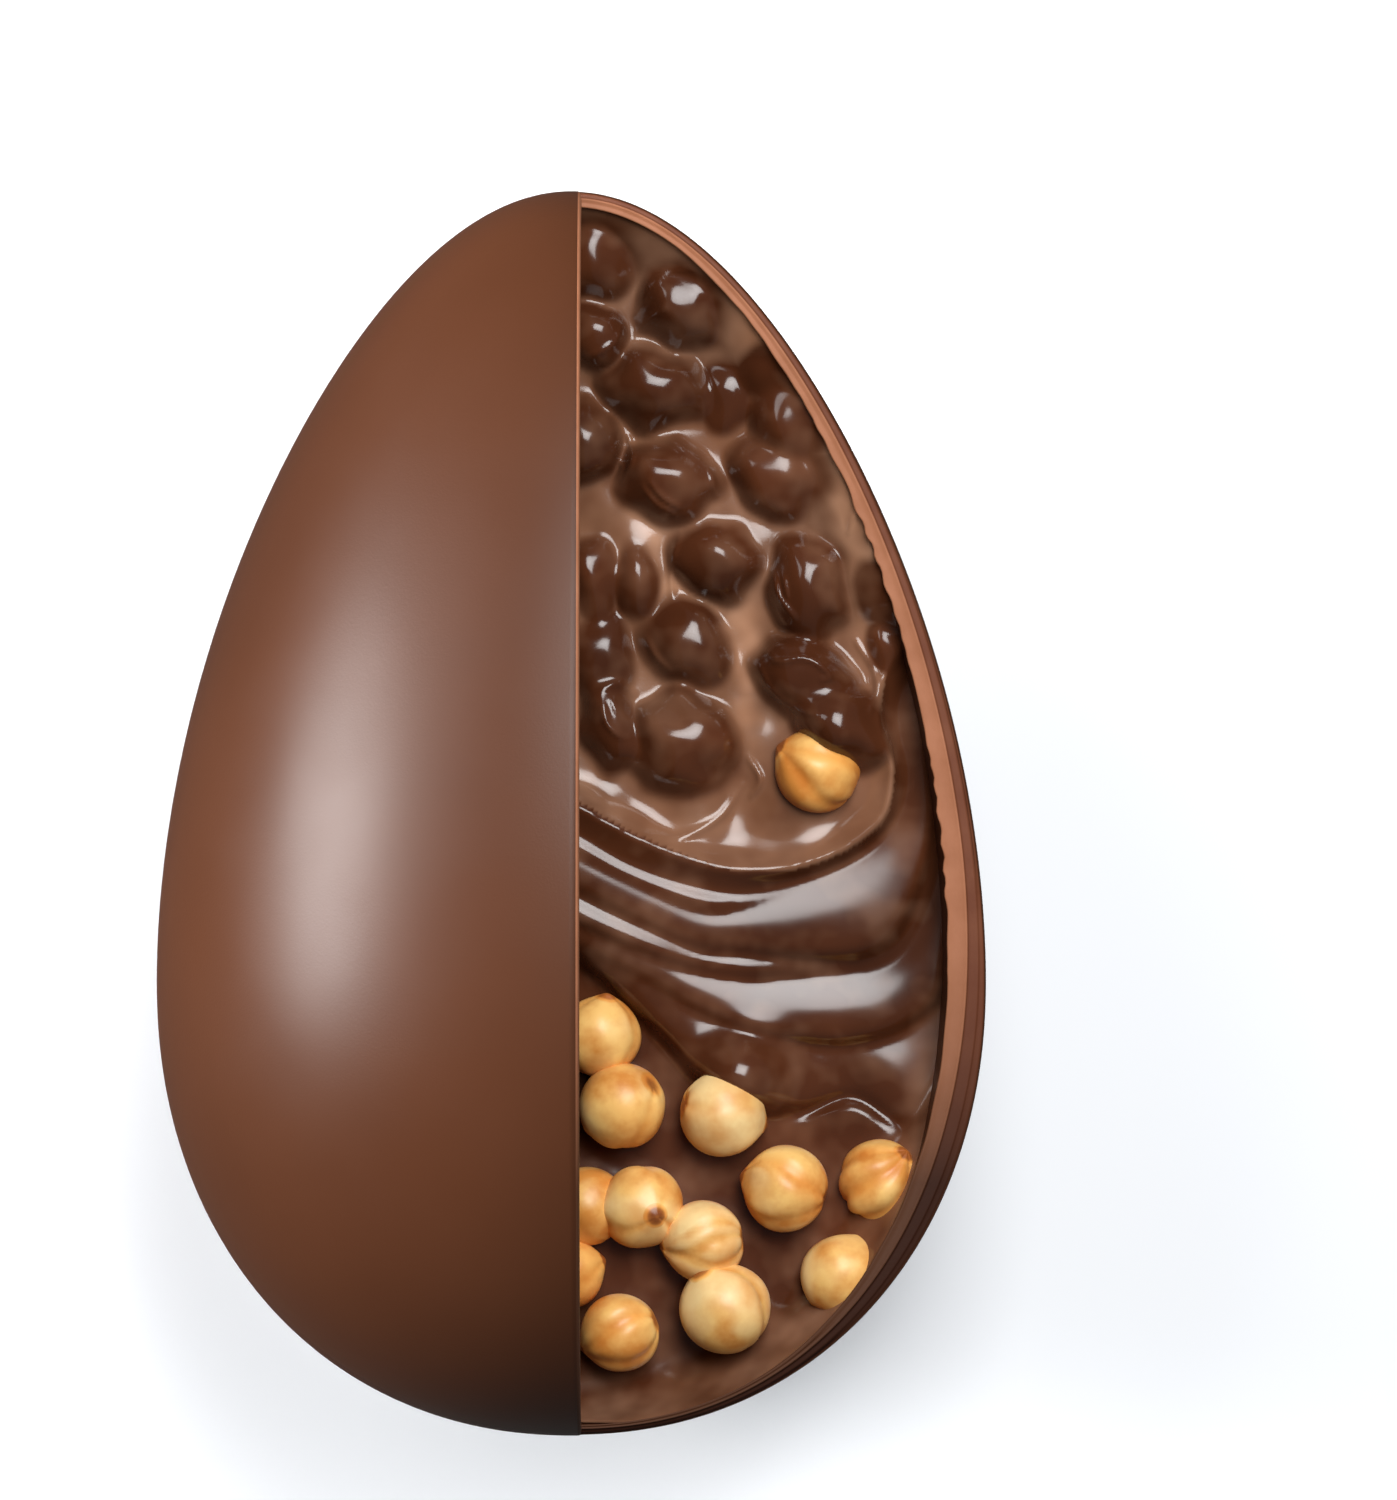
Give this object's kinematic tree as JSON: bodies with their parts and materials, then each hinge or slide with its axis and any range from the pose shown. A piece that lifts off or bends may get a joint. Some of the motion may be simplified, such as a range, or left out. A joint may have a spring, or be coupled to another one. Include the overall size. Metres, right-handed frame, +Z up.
{
  "type": "filled chocolate egg",
  "caption": "Moulded milk chocolate egg lying on its back, opened at one side to show glossy nut cream and roasted hazelnuts.",
  "frame": {"origin": "centre of the egg's box in plan, on the surface that the egg lies on", "axes": "+Y along the egg from its blunt end to its pointed end, +Z up out of the opened side, +X towards the open quarter"},
  "size_m": [0.1299, 0.195, 0.1275],
  "materials": {
    "shell": "satin",
    "cream": "gloss",
    "hazelnut": "satin"
  },
  "bodies": {
    "root": {"shell_back": "shell", "shell_front": "shell", "filling": "cream", "hazelnut_01": "hazelnut", "hazelnut_02": "hazelnut", "hazelnut_03": "hazelnut", "hazelnut_04": "hazelnut", "hazelnut_05": "hazelnut", "hazelnut_06": "hazelnut", "hazelnut_07": "hazelnut", "hazelnut_08": "hazelnut", "hazelnut_09": "hazelnut", "hazelnut_10": "hazelnut", "hazelnut_11": "hazelnut", "hazelnut_12": "hazelnut", "hazelnut_13": "hazelnut"}
  },
  "joints": []
}
